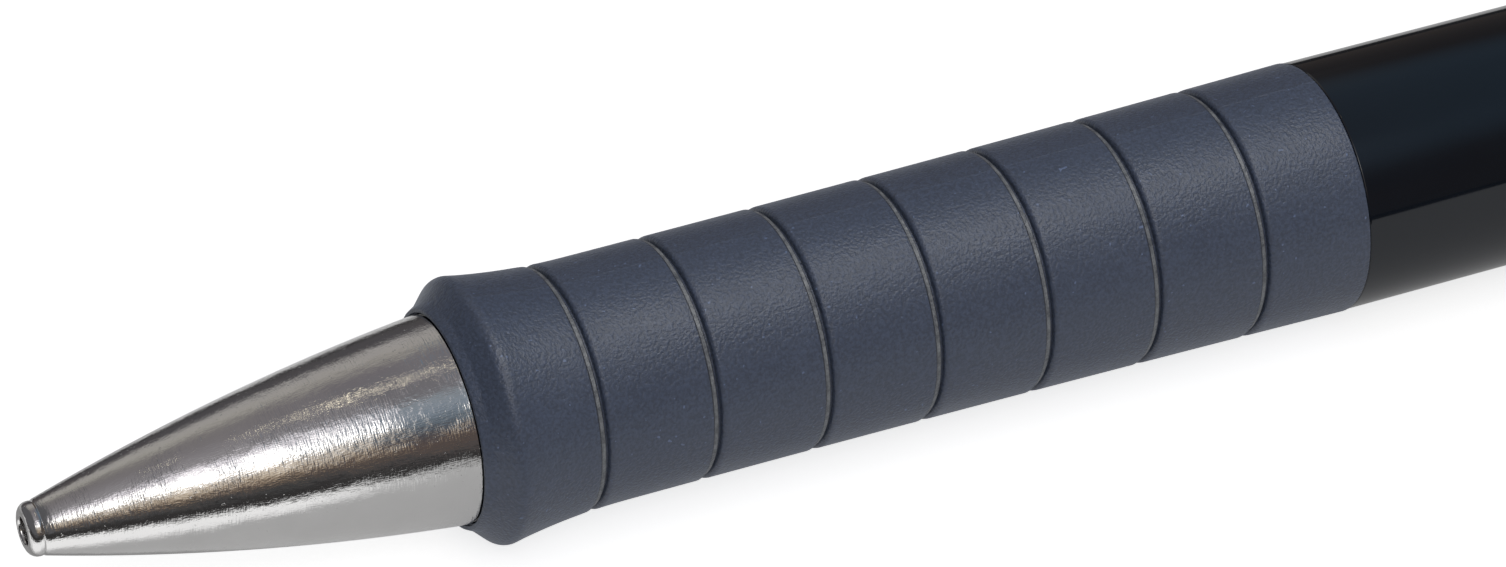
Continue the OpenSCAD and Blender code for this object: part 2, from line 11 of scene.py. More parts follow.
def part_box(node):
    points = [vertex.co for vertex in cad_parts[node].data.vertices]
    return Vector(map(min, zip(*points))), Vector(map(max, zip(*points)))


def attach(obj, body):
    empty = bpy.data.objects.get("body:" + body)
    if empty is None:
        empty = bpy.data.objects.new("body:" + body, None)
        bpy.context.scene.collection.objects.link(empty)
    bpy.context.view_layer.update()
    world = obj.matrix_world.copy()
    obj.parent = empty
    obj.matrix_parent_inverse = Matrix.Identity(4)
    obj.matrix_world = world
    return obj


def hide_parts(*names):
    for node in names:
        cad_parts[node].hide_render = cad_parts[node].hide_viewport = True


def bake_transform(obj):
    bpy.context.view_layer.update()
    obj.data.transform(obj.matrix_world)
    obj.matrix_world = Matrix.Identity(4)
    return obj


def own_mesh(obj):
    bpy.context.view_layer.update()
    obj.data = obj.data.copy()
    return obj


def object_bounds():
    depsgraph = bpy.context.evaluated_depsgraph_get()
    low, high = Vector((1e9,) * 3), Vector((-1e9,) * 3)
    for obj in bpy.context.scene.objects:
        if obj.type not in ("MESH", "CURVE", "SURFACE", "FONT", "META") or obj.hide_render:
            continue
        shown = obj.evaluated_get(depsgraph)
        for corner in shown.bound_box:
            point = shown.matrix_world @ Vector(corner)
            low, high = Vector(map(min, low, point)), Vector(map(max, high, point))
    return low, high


bl_info = {
    "name": "Gel Pen",
    "version": (1, 0, 0),
    "blender": (4, 5, 0),
    "location": "View3D > Sidebar > Gel Pen",
    "description": "Models and finishes a retractable gel pen around its packed parts",
    "category": "Add Mesh",
}

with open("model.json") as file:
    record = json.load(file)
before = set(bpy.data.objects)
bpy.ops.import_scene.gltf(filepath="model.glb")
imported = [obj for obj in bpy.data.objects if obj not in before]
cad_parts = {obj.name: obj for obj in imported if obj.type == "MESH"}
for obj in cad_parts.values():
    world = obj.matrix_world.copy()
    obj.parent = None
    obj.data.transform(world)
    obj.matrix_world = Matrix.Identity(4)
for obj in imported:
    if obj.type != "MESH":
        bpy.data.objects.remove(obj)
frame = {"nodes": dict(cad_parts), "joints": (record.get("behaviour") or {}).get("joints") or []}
cad_low, cad_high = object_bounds()

MM = 0.001
MICRON = 0.000001
AXIS = Vector((1, 0, 0))
UP = Vector((0, 0, 1))
WELD = 0.3 * MICRON


def span(node):
    """Where a part starts and ends along the pen, and its largest radius, in millimetres."""
    low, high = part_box(node)
    return low.x / MM, high.x / MM, max(high.y, high.z) / MM


NOSE_X0, NOSE_X1, NOSE_R = span("nose_cone")
INSERT_X0, INSERT_X1, _ = span("nose_insert")
GRIP_X0, GRIP_X1, FLARE_R = span("grip_sleeve")
BARREL_X0, BARREL_X1, BARREL_R = span("barrel")
TRIM_X0, TRIM_X1, TRIM_R = span("trim_ring")
REAR_X0, REAR_X1, _ = span("rear_sleeve")
RING_X0, RING_X1, _ = span("clip_ring")
ARM_X0, _, _ = span("clip_arm")
COLLAR_X0, COLLAR_X1, COLLAR_R = span("end_collar")
BUTTON_X0, BUTTON_X1, FLANGE_R = span("push_button")
SPRING_X0, SPRING_X1, SPRING_R = span("retract_spring")
NEEDLE_X0, NEEDLE_X1, NEEDLE_R = span("needle_pipe")
BALL_X0, BALL_X1, BALL_R = span("writing_ball")
SEAT_X = NOSE_X1 + 0.05
CLIP_SIDE = Vector(next(j["axis"] for j in frame["joints"] if j["name"] == "clip_flex"))
CLIP_OUT = AXIS.cross(CLIP_SIDE)


# Settings

def size(name, description, default, least=0.0):
    """A size setting, in millimetres."""
    return bpy.props.FloatProperty(name=name, description=description, default=default, min=least)


def count(name, description, default, least):
    """A whole-number setting."""
    return bpy.props.IntProperty(name=name, description=description, default=default, min=least)


class PenSizes(bpy.types.PropertyGroup):
    """Sizes in millimetres of the visible pieces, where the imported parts' boxes don't give them."""

    nose_tip: size("Nose tip", "Radius of the cone behind its rolled front edge", 1.19, 0.8)
    nose_front: size("Nose front", "From the front edge to the start of the cone's long arc", 0.7, 0.3)
    nose_arc: size("Nose arc", "Radius of the long arc along the cone's side", 107, 40)
    nose_hole: size("Nose opening", "Radius of the front opening", 0.58, 0.3)
    nose_wall: size("Nose wall", "Wall of the drawn metal cone", 0.42, 0.1)
    seat_radius: size("Grip seat", "Radius of the barrel under the grip", 4.5, 3)
    lip_radius: size("Grip lip", "Radius of the grip's front edge", 4.72, 3)
    flare_top: size("Flare", "From the grip's front edge to the top of its flare", 1.3, 0.5)
    flare_round: size("Flare rounding", "Rounding over the top of the flare", 0.65, 0.05)
    hollow: size("Hollow", "Radius of the hollow curve behind the flare", 28, 10)
    waist_radius: size("Waist", "Radius of the grip's waist", 5.23, 4)
    end_radius: size("Grip end", "Radius of the grip's rear end", 5.54, 4)
    groove_count: count("Grooves", "Grooves around the grip", 7, 1)
    groove_first: size("First groove", "From the grip's front edge to the first groove", 5.05)
    groove_pitch: size("Groove pitch", "From one groove to the next", 5.09)
    groove_ledge: size("Groove ledge", "Width of the shallow ledge in front of a groove's slit", 0.22)
    ledge_depth: size("Ledge depth", "Depth of that ledge", 0.12)
    groove_slit: size("Groove slit", "Width of the slit behind the ledge", 0.14)
    slit_depth: size("Slit depth", "Depth of that slit", 0.3)
    parting_width: size("Parting line", "Width of the mould's parting line along the grip", 0.09)
    parting_height: size("Parting height", "Height of the mould's parting line", 0.012)
    bore_radius: size("Bore", "Radius of the bore in the barrel and the rear sleeve", 4.5)
    refill_bore: size("Refill bore", "Radius of the bore around the refill", 3.3)
    thread_pitch: size("Thread pitch", "Pitch of the nose insert's thread", 0.75, 0.3)
    thread_radius: size("Thread radius", "Outer radius of the nose insert's thread", 3.9)
    thread_depth: size("Thread depth", "Depth of the nose insert's thread", 0.25)
    clip_width: size("Clip width", "Width of the clip's arm", 4.4)
    clip_outer: size("Clip height", "From the pen's axis to the clip's outer face", 7.8)
    clip_bump: size("Clip bump", "From the clip's tip back to its pressing bump", 3.6)
    clip_dip: size("Clip dip", "Depth of the hollow over the bump", 0.45)
    button_radius: size("Button", "Radius of the push button", 3.6)
    button_round: size("Button rounding", "Rounding of the push button's edge", 0.8)
    wire: size("Spring wire", "Wire of the retract spring", 0.45)
    spring_turns: count("Spring turns", "Turns of the retract spring", 11, 3)


def colour(name, description, default):
    """A colour setting."""
    return bpy.props.FloatVectorProperty(
        name=name, description=description, default=default, subtype="COLOR", size=3, min=0, max=1)


class PenColours(bpy.types.PropertyGroup):
    """Colours of the pen's finishes."""

    rubber: colour("Rubber", "The grip", (0.036, 0.050, 0.088))
    gloss: colour("Barrel", "The barrel and the rear sleeve", (0.0043, 0.0070, 0.0125))
    chrome: colour("Chrome", "The plated metal", (0.56, 0.555, 0.55))
    steel: colour("Steel", "The needle and the springs", (0.58, 0.57, 0.56))
    carbide: colour("Ball", "The writing ball", (0.22, 0.22, 0.23))
    insert: colour("Insert", "The threaded insert in the nose", (0.060, 0.062, 0.068))
    cam: colour("Cam", "The knock's cam pieces", (0.74, 0.71, 0.64))
    holder: colour("Holder", "The refill's tip holder and tail plug", (0.78, 0.78, 0.75))
    tube: colour("Tube", "The refill's translucent tube", (0.80, 0.84, 0.86))
    ink: colour("Ink", "The gel ink", (0.006, 0.006, 0.009))
    grease: colour("Grease", "The grease behind the ink", (0.72, 0.66, 0.44))


# Modelling with edit-mode operators

TURN_STEPS = 128
ROUND_STEPS = 6
SMOOTH_ANGLE = math.radians(28)


def begin(name):
    """A new mesh at the origin, in edit mode, that holds one vertex there."""
    bpy.ops.object.select_all(action="DESELECT")
    bpy.ops.mesh.primitive_circle_add(vertices=3, radius=MM, location=(0, 0, 0))
    piece = bpy.context.object
    piece.name = name
    piece.data.name = name
    bpy.ops.object.mode_set(mode="EDIT")
    bpy.ops.mesh.select_all(action="SELECT")
    bpy.ops.mesh.merge(type="CENTER")
    return piece


def trace(points):
    """Draws a closed line through places in metres, from the one vertex there is."""
    bpy.ops.transform.translate(value=points[0])
    for here, there in zip(points, points[1:] + points[:1]):
        bpy.ops.mesh.extrude_vertices_move(TRANSFORM_OT_translate={"value": there - here})
    bpy.ops.mesh.select_all(action="SELECT")
    bpy.ops.mesh.remove_doubles(threshold=WELD)


def select_only(*pieces):
    """Selects these pieces and nothing else, and makes the last one active."""
    bpy.ops.object.select_all(action="DESELECT")
    for piece in pieces:
        piece.select_set(True)
        bpy.context.view_layer.objects.active = piece


def close_up():
    """Merges doubles and turns all faces outwards, in edit mode, and goes back to object mode."""
    bpy.ops.mesh.select_all(action="SELECT")
    bpy.ops.mesh.remove_doubles(threshold=WELD)
    bpy.ops.mesh.normals_make_consistent(inside=False)
    bpy.ops.object.mode_set(mode="OBJECT")


def smooth(piece):
    """Smooth shading, with edges kept where the surface turns sharply."""
    select_only(piece)
    bpy.ops.object.shade_smooth_by_angle(angle=SMOOTH_ANGLE)


def rounded(*corners):
    """A closed outline through (x, height) corners. A third number rounds that corner to a radius."""
    points = []
    for i, corner in enumerate(corners):
        here = Vector(corner[:2])
        if len(corner) == 2:
            points.append(here)
            continue
        back = (Vector(corners[i - 1][:2]) - here).normalized()
        on = (Vector(corners[(i + 1) % len(corners)][:2]) - here).normalized()
        half = back.angle(on) / 2
        centre = here + (back + on).normalized() * corner[2] / math.sin(half)
        start = here + back * corner[2] / math.tan(half) - centre
        turn = start.angle_signed(here + on * corner[2] / math.tan(half) - centre)
        for k in range(ROUND_STEPS + 1):
            points.append(centre + Matrix.Rotation(-turn * k / ROUND_STEPS, 2) @ start)
    return points


def lathe(name, outline, steps=TURN_STEPS):
    """A solid spun about the pen's axis from a closed outline of (x, radius) in millimetres."""
    piece = begin(name)
    trace([Vector((x, 0, radius)) * MM for x, radius in outline])
    bpy.ops.mesh.spin(steps=steps, angle=math.tau, center=(0, 0, 0), axis=AXIS)
    close_up()
    smooth(piece)
    return piece


def prism(name, places, sweep):
    """A solid extruded along sweep from a closed flat outline of places, all in metres."""
    piece = begin(name)
    trace(places)
    bpy.ops.mesh.edge_face_add()
    bpy.ops.mesh.extrude_region_move(TRANSFORM_OT_translate={"value": sweep})
    close_up()
    return piece


def select_vertices(piece, test):
    """Selects only the vertices that pass a test on their place, in edit mode."""
    bpy.ops.mesh.select_all(action="DESELECT")
    mesh = bmesh.from_edit_mesh(piece.data)
    for vertex in mesh.verts:
        if test(vertex.co):
            vertex.select = True
    mesh.select_flush_mode()
    bmesh.update_edit_mesh(piece.data)


def apply_modifier(piece, kind, **settings):
    """Adds one modifier to a piece and applies it."""
    select_only(piece)
    bpy.ops.object.modifier_add(type=kind)
    modifier = piece.modifiers[-1]
    for setting, value in settings.items():
        setattr(modifier, setting, value)
    bpy.ops.object.modifier_apply(modifier=modifier.name)


def combine(piece, other, operation):
    """Cuts, joins or intersects a piece with another mesh, which is used up."""
    apply_modifier(piece, "BOOLEAN", operation=operation, object=other, solver="EXACT")
    bpy.data.objects.remove(other)


def place(piece, body, slot, material, *nodes):
    """Rides a finished piece on its body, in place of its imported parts, with its material."""
    piece.data.materials.clear()
    piece.data.materials.append(material)
    if body:
        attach(piece, body)
    if nodes:
        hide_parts(*nodes)
    return piece


def finish_node(node, material):
    """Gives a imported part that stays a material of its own."""
    part = frame["nodes"][node]
    part.data.materials.clear()
    part.data.materials.append(material)


# Materials

def new_material(name, **levels):
    """A material, its tree, its shader with some inputs set, and the object's own coordinates."""
    material = bpy.data.materials.new(name)
    material.use_nodes = True
    tree = material.node_tree
    shader = tree.nodes["Principled BSDF"]
    for level, value in levels.items():
        shader.inputs[level].default_value = value
    place_of = tree.nodes.new("ShaderNodeTexCoord").outputs["Object"]
    return material, tree, shader, place_of


def connect(tree, shader, base, roughness, normal):
    """Links a shader's colour, roughness and bumps, where they vary over the surface."""
    tree.links.new(base, shader.inputs["Base Color"])
    tree.links.new(roughness, shader.inputs["Roughness"])
    tree.links.new(normal, shader.inputs["Normal"])


def axes(tree, place_of):
    """The three coordinates of a place, one by one."""
    parts = tree.nodes.new("ShaderNodeSeparateXYZ")
    tree.links.new(place_of, parts.inputs["Vector"])
    return parts.outputs


def noise(tree, place_of, grain, detail=2.0, roughness=0.5):
    """Noise whose grain is its size in millimetres, either one number or along and across the pen."""
    along, across = grain if isinstance(grain, tuple) else (grain, grain)
    mapping = tree.nodes.new("ShaderNodeMapping")
    mapping.inputs["Scale"].default_value = (1 / (along * MM), 1 / (across * MM), 1 / (across * MM))
    texture = tree.nodes.new("ShaderNodeTexNoise")
    texture.inputs["Scale"].default_value = 1
    texture.inputs["Detail"].default_value = detail
    texture.inputs["Roughness"].default_value = roughness
    tree.links.new(place_of, mapping.inputs["Vector"])
    tree.links.new(mapping.outputs["Vector"], texture.inputs["Vector"])
    return texture.outputs["Fac"]


def ramp(tree, value, *stops):
    """Maps a value through (position, level) stops."""
    node = tree.nodes.new("ShaderNodeValToRGB")
    stretch(node.color_ramp, [(at, (level, level, level)) for at, level in stops])
    tree.links.new(value, node.inputs["Fac"])
    return node.outputs["Color"]


def stretch(colour_ramp, stops):
    """Sets a colour ramp's stops, each a position and a colour."""
    elements = colour_ramp.elements
    elements[0].position, elements[0].color = stops[0][0], (*stops[0][1], 1)
    elements[1].position, elements[1].color = stops[-1][0], (*stops[-1][1], 1)
    for at, tint in stops[1:-1]:
        elements.new(at).color = (*tint, 1)


def mix_colour(tree, factor, first, second):
    """Mixes two colours by a factor. Each is a plain colour or another node's output."""
    node = tree.nodes.new("ShaderNodeMix")
    node.data_type = "RGBA"
    tree.links.new(factor, node.inputs["Factor"])
    for socket, tint in ((node.inputs[6], first), (node.inputs[7], second)):
        if isinstance(tint, bpy.types.NodeSocket):
            tree.links.new(tint, socket)
        else:
            socket.default_value = (*tint, 1)
    return node.outputs[2]


def calculate(tree, operation, *values):
    """One Math node, whose values are numbers or other nodes' outputs."""
    node = tree.nodes.new("ShaderNodeMath")
    node.operation = operation
    for socket, value in zip(node.inputs, values):
        if isinstance(value, bpy.types.NodeSocket):
            tree.links.new(value, socket)
        else:
            socket.default_value = value
    return node.outputs[0]


def times(tree, first, second):
    """One value multiplied by another."""
    return calculate(tree, "MULTIPLY", first, second)


def fade(tree, value, start, end):
    """Goes smoothly from 0 where a value is start, or less, to 1 where it is end, or more."""
    node = tree.nodes.new("ShaderNodeMapRange")
    node.interpolation_type = "SMOOTHSTEP"
    node.inputs["From Min"].default_value = start
    node.inputs["From Max"].default_value = end
    tree.links.new(value, node.inputs["Value"])
    return node.outputs["Result"]


def bump(tree, height, rise, below=None):
    """Raises the surface by up to rise, in microns, on top of another bump."""
    node = tree.nodes.new("ShaderNodeBump")
    node.inputs["Strength"].default_value = 1
    node.inputs["Distance"].default_value = rise * MICRON
    tree.links.new(height, node.inputs["Height"])
    if below:
        tree.links.new(below, node.inputs["Normal"])
    return node.outputs["Normal"]


def scaled(tint, factor):
    """A colour made lighter or darker."""
    return tuple(min(1.0, channel * factor) for channel in tint)


def chrome_finish(tint):
    """Bright plating with the dappled grain of turning marks, long fine scratches and a few dings."""
    material, tree, shader, place_of = new_material("bright_plating", Metallic=1)
    dapple = noise(tree, place_of, (0.075, 0.5), 2.0, 0.55)
    ripple = noise(tree, place_of, (0.35, 0.28), 2.0, 0.5)
    scratch = noise(tree, place_of, (3.5, 0.05), 2.0, 0.6)
    cloud = noise(tree, place_of, 2.0, 3.0)
    patch = fade(tree, noise(tree, place_of, (3.0, 1.4), 2.0), 0.35, 0.65)
    dings = fade(tree, noise(tree, place_of, 0.15, 1.0), 0.73, 0.79)
    base = mix_colour(tree, cloud, scaled(tint, 0.94), scaled(tint, 1.06))
    normal = bump(tree, times(tree, dapple, patch), 20)
    for height, rise in ((ripple, 9), (scratch, 5), (dings, -6)):
        normal = bump(tree, height, rise, normal)
    connect(tree, shader, base, ramp(tree, cloud, (0.3, 0.05), (0.75, 0.11)), normal)
    return material


# Colour of the paler mottled strip along the grooves' ledges.
LEDGE_PALE_TONE = (0.19, 0.20, 0.215)


def rubber_finish(tint, sizes):
    """Matte moulded rubber with a fine spark-eroded grain, dirt specks, rubbed patches, painted shade along
    its grooves and a paler mottled strip on each groove's ledge.
    """
    material, tree, shader, place_of = new_material("matte_rubber", **{
        "IOR": 1.45,
        "Specular IOR Level": 0.95,
        "Sheen Weight": 0.22,
        "Sheen Roughness": 0.35,
        "Sheen Tint": (0.80, 0.88, 1.0, 1),
    })
    grain = noise(tree, place_of, 0.137, 1.0, 0.6)
    cloud = noise(tree, place_of, (3.5, 2.2), 3.0)
    specks = ramp(tree, noise(tree, place_of, 0.19, 0.0), (0.815, 0), (0.85, 1))
    rubbed = ramp(tree, noise(tree, place_of, 0.8, 4.0, 0.7), (0.60, 0), (0.80, 0.35))
    base = mix_colour(tree, cloud, scaled(tint, 0.90), scaled(tint, 1.10))
    base = mix_colour(tree, rubbed, base, scaled(tint, 1.35))
    base = mix_colour(tree, ramp(tree, grain, (0.36, 0.5), (0.50, 0)), base, scaled(tint, 0.62))
    base = mix_colour(tree, ramp(tree, grain, (0.50, 0), (0.66, 0.5)), base, scaled(tint, 1.50))
    base = mix_colour(tree, specks, base, scaled(tint, 2.6))
    ledge_mottle = ramp(tree, noise(tree, place_of, (0.4, 0.5), 3.0, 0.7), (0.35, 0.25), (0.65, 1))
    # Painted shade: the grooves are darkened to 0.3 of the rubber's colour over a span a little wider than
    # the ledge. This leaves dark lines along both groove edges.
    base = mix_colour(tree, ledge_mask(tree, place_of, sizes, 0.80), base, scaled(tint, 0.3))
    # A paler mottled strip along the middle of each groove's ledge, lighter than the bands beside it.
    pale_ledge_strip = times(tree, ledge_mask(tree, place_of, sizes, 0.34), ledge_mottle)
    base = mix_colour(tree, pale_ledge_strip, base, LEDGE_PALE_TONE)
    connect(tree, shader, base, ramp(tree, cloud, (0.3, 0.44), (0.7, 0.52)), bump(tree, grain, 38))
    return material


def ledge_mask(tree, place_of, sizes, reach):
    """1 near the middle of each groove's ledge, up to reach times its width, and 0 on the bands."""
    x, _, _ = axes(tree, place_of)
    middle = SEAT_X + sizes.groove_first - sizes.groove_slit / 2
    pitch = sizes.groove_pitch * MM
    from_first = calculate(tree, "SUBTRACT", x, middle * MM)
    off_ledge = calculate(tree, "PINGPONG", from_first, pitch / 2)
    near = calculate(tree, "LESS_THAN", off_ledge, sizes.groove_ledge * reach * MM)
    row = (sizes.groove_count - 1) * pitch
    from_middle = calculate(tree, "ABSOLUTE", calculate(tree, "SUBTRACT", from_first, row / 2))
    in_row = calculate(tree, "LESS_THAN", from_middle, (row + pitch / 2) / 2)
    return times(tree, near, in_row)


def gloss_finish(tint):
    """Polished blue-black moulding with hairline scratches and a slight mould waviness."""
    material, tree, shader, place_of = new_material("polished_black", IOR=1.5)
    cloud = noise(tree, place_of, (5.0, 1.5), 3.0)
    scratch = noise(tree, place_of, (3.0, 0.05), 1.0)
    wave = noise(tree, place_of, (6.0, 1.8), 0.0)
    base = mix_colour(tree, cloud, scaled(tint, 0.7), scaled(tint, 1.35))
    normal = bump(tree, scratch, 0.12, bump(tree, wave, 3))
    connect(tree, shader, base, ramp(tree, cloud, (0.3, 0.05), (0.75, 0.12)), normal)
    return material


def steel_finish(name, tint, grain):
    """Drawn steel, with its drawing lines along the pen or around the wire."""
    material, tree, shader, place_of = new_material(name, Metallic=1)
    line = noise(tree, place_of, grain)
    base = mix_colour(tree, line, scaled(tint, 0.85), scaled(tint, 1.1))
    connect(tree, shader, base, ramp(tree, line, (0.3, 0.18), (0.7, 0.32)), bump(tree, line, 1))
    return material


def moulded_finish(name, tint, roughness, clear=0.0, depth=0.0):
    """Moulded plastic with a fine grain. clear lets light through, and depth scatters it inside."""
    material, tree, shader, place_of = new_material(name, **{
        "IOR": 1.48,
        "Transmission Weight": clear,
        "Subsurface Weight": depth,
        "Subsurface Scale": 0.4 * MM,
    })
    cloud = noise(tree, place_of, 1.6, 3.0)
    base = mix_colour(tree, cloud, scaled(tint, 0.92), scaled(tint, 1.06))
    dull = ramp(tree, cloud, (0.3, roughness * 0.85), (0.7, roughness * 1.15))
    connect(tree, shader, base, dull, bump(tree, noise(tree, place_of, 0.2), 2))
    return material


def finish(kind):
    """The material of that kind, made once."""
    colours = bpy.context.scene.pen_colours
    sizes = bpy.context.scene.pen_sizes
    makers = {
        "bright_plating": lambda: chrome_finish(colours.chrome),
        "matte_rubber": lambda: rubber_finish(colours.rubber, sizes),
        "polished_black": lambda: gloss_finish(colours.gloss),
        "drawn_steel": lambda: steel_finish(kind, colours.steel, (1.5, 0.04)),
        "coiled_wire": lambda: steel_finish(kind, colours.steel, (0.05, 0.6)),
        "ground_carbide": lambda: steel_finish(kind, colours.carbide, (0.2, 0.2)),
        "moulded_insert": lambda: moulded_finish(kind, colours.insert, 0.42),
        "moulded_cam": lambda: moulded_finish(kind, colours.cam, 0.38, depth=0.15),
        "moulded_holder": lambda: moulded_finish(kind, colours.holder, 0.35, depth=0.2),
        "clear_tube": lambda: moulded_finish(kind, colours.tube, 0.2, clear=0.85),
        "dark_ink": lambda: moulded_finish(kind, colours.ink, 0.15),
        "soft_grease": lambda: moulded_finish(kind, colours.grease, 0.1, clear=0.7),
    }
    return bpy.data.materials.get(kind) or makers[kind]()


# The nose

def nose_radius(sizes, x):
    """Radius of the cone's side at x: an arc from behind the front ring to the base."""
    start = Vector((sizes.nose_front, sizes.nose_tip))
    end = Vector((NOSE_X1, NOSE_R))
    chord = end - start
    depth = math.sqrt(sizes.nose_arc ** 2 - (chord.length / 2) ** 2)
    along = chord.normalized()
    centre = (start + end) / 2 + depth * Vector((along.y, -along.x))
    return centre.y + math.sqrt(sizes.nose_arc ** 2 - (x - centre.x) ** 2)


def steps_between(start, end, count):
    """Evenly spaced places from start to end, both included."""
    return [start + (end - start) * i / count for i in range(count + 1)]


class PEN_OT_add_nose(bpy.types.Operator):
    """Add the drawn chrome cone, with its rolled front ring and the fine neck behind it"""

    bl_idname = "pen.add_nose"
    bl_label = "Nose cone"

    def execute(self, context):
        sizes = context.scene.pen_sizes
        mouth_x = 0.9
        cavity_x = 2.4
        base_round = 0.1
        ring_end = sizes.nose_front - 0.16
        ring = sizes.nose_tip - 0.03
        neck_x = sizes.nose_front - 0.08
        neck = sizes.nose_tip - 0.06
        side = [(x, nose_radius(sizes, x)) for x in steps_between(sizes.nose_front, NOSE_X1 - base_round, 44)]
        wall = [(x, nose_radius(sizes, x) - sizes.nose_wall) for x in steps_between(NOSE_X1, cavity_x, 14)]
        front = rounded(
            (mouth_x, sizes.nose_hole),
            (NOSE_X0, sizes.nose_hole, 0.12),
            (NOSE_X0, ring, 0.45),
            (ring_end, ring, 0.04),
            (neck_x, neck, 0.03),
            (sizes.nose_front, sizes.nose_tip),
        )
        outline = front + side[1:] + [(NOSE_X1, NOSE_R - base_round)] + wall + [(cavity_x, sizes.nose_hole)]
        cone = lathe("chrome_nose_cone", outline, steps=160)
        place(cone, "nose", "chrome", finish("bright_plating"), "nose_cone")
        return {"FINISHED"}


class PEN_OT_add_nose_insert(bpy.types.Operator):
    """Add the moulded insert that is bonded in the cone, with the real helix of its thread"""

    bl_idname = "pen.add_nose_insert"
    bl_label = "Threaded insert"

    def execute(self, context):
        sizes = context.scene.pen_sizes
        glue = 0.02
        neck_bore = 1.65
        spring_bore = 2.66
        root = sizes.thread_radius - sizes.thread_depth
        shell = [(x, nose_radius(sizes, x) - sizes.nose_wall - glue)
                 for x in steps_between(INSERT_X0, NOSE_X1, 12)]
        rear = rounded(
            (NOSE_X1, root),
            (INSERT_X1, root, 0.2),
            (INSERT_X1, spring_bore, 0.15),
            (SPRING_X0, spring_bore),
            (SPRING_X0, neck_bore, 0.1),
            (INSERT_X0, neck_bore),
        )
        insert = lathe("threaded_nose_insert", shell + rear, steps=96)
        thread = self.thread(sizes, root)
        select_only(thread, insert)
        bpy.ops.object.join()
        smooth(insert)
        place(insert, "nose", "insert_plastic", finish("moulded_insert"), "nose_insert")
        return {"FINISHED"}

    def thread(self, sizes, root):
        """One V-shaped ridge that winds along the spigot as a right-handed helix."""
        foot = root - 0.03
        foot_half = 0.3
        crest_half = 0.06
        start = NOSE_X1 + sizes.thread_pitch / 2
        turns = int((INSERT_X1 - NOSE_X1) / sizes.thread_pitch) - 1
        profile = rounded(
            (start - foot_half, foot),
            (start - crest_half, sizes.thread_radius, 0.05),
            (start + crest_half, sizes.thread_radius, 0.05),
            (start + foot_half, foot),
        )
        ridge = begin("insert_thread")
        trace([Vector((x, 0, radius)) * MM for x, radius in profile])
        bpy.ops.object.mode_set(mode="OBJECT")
        apply_modifier(
            ridge, "SCREW", axis="X", angle=math.tau * turns, screw_offset=sizes.thread_pitch * turns * MM,
            steps=64 * turns, render_steps=64 * turns, use_merge_vertices=False)
        bpy.ops.object.mode_set(mode="EDIT")
        bpy.ops.mesh.select_mode(type="EDGE")
        bpy.ops.mesh.select_all(action="DESELECT")
        bpy.ops.mesh.select_non_manifold()
        bpy.ops.mesh.fill()
        bpy.ops.mesh.select_mode(type="VERT")
        close_up()
        return ridge


# The grip

def grip_radius(sizes, x):
    """Radius of the grip behind its flare: a hollow curve to the waist, then a gentle swell."""
    top = SEAT_X + sizes.flare_top
    waist = top + math.sqrt(2 * sizes.hollow * (FLARE_R - sizes.waist_radius))
    if x < waist:
        return sizes.waist_radius + (waist - x) ** 2 / (2 * sizes.hollow)
    swell = (sizes.end_radius - sizes.waist_radius) / (GRIP_X1 - waist) ** 2
    return sizes.waist_radius + swell * (x - waist) ** 2


def groove_corners(sizes, x):
    """One groove: a band's rear edge, a shallow ledge, a narrow slit and the next band's rounded edge."""
    surface = grip_radius(sizes, x)
    start = x - (sizes.groove_ledge + sizes.groove_slit) / 2
    brink = start + sizes.groove_ledge
    end = brink + sizes.groove_slit
    return [
        (start, surface, 0.05),
        (start, surface - sizes.ledge_depth, 0.03),
        (brink, surface - sizes.ledge_depth, 0.03),
        (brink, surface - sizes.slit_depth, 0.02),
        (end, surface - sizes.slit_depth, 0.02),
        (end, surface, 0.22),
    ]


class PEN_OT_add_grip(bpy.types.Operator):
    """Add the rubber grip, with its flare, its grooves and the parting lines of its mould"""

    bl_idname = "pen.add_grip"
    bl_label = "Rubber grip"

    def execute(self, context):
        sizes = context.scene.pen_sizes
        top = SEAT_X + sizes.flare_top
        crown_x = top - 0.14
        crown = FLARE_R + 0.04
        lip_x = NOSE_X1 - 0.06
        cove_x = lip_x + 0.42
        corners = [
            (GRIP_X0, sizes.seat_radius),
            (GRIP_X0, NOSE_R + 0.05),
            (lip_x, NOSE_R + 0.06, 0.02),
            (lip_x, sizes.lip_radius, 0.06),
            (cove_x, sizes.lip_radius + 0.22, 0.5),
            (crown_x, crown, sizes.flare_round),
        ]
        grooves = [SEAT_X + sizes.groove_first + i * sizes.groove_pitch for i in range(sizes.groove_count)]
        edges = [top] + grooves + [GRIP_X1]
        band_inset = 0.5
        flare_inset = 0.62
        for start, end in zip(edges, edges[1:]):
            first = start + (flare_inset if start == top else band_inset)
            last = end - band_inset
            corners += [(x, grip_radius(sizes, x)) for x in steps_between(first, last, 7)]
            if end != GRIP_X1:
                corners += groove_corners(sizes, end)
        corners += [(GRIP_X1, grip_radius(sizes, GRIP_X1), 0.06), (GRIP_X1, sizes.seat_radius)]
        grip = lathe("rubber_grip", rounded(*corners), steps=144)
        self.add_parting_lines(grip, sizes)
        smooth(grip)
        place(grip, "pen_barrel", "grip_rubber", finish("matte_rubber"), "grip_sleeve")
        return {"FINISHED"}

    def add_parting_lines(self, grip, sizes):
        """Two low ridges along the grip, where the halves of its mould met."""
        bpy.ops.object.mode_set(mode="EDIT")
        for side in (-1, 1):
            bpy.ops.mesh.select_all(action="SELECT")
            cut = Vector((0, side * sizes.parting_width / 2, 0)) * MM
            bpy.ops.mesh.bisect(plane_co=cut, plane_no=(0, 1, 0), threshold=MICRON)
        for side in (-1, 1):
            select_vertices(grip, lambda place_of: (
                abs(place_of.y) < MICRON and side * place_of.z > (sizes.seat_radius + 0.2) * MM))
            bpy.ops.transform.translate(value=UP * side * sizes.parting_height * MM)
        bpy.ops.object.mode_set(mode="OBJECT")


# The body

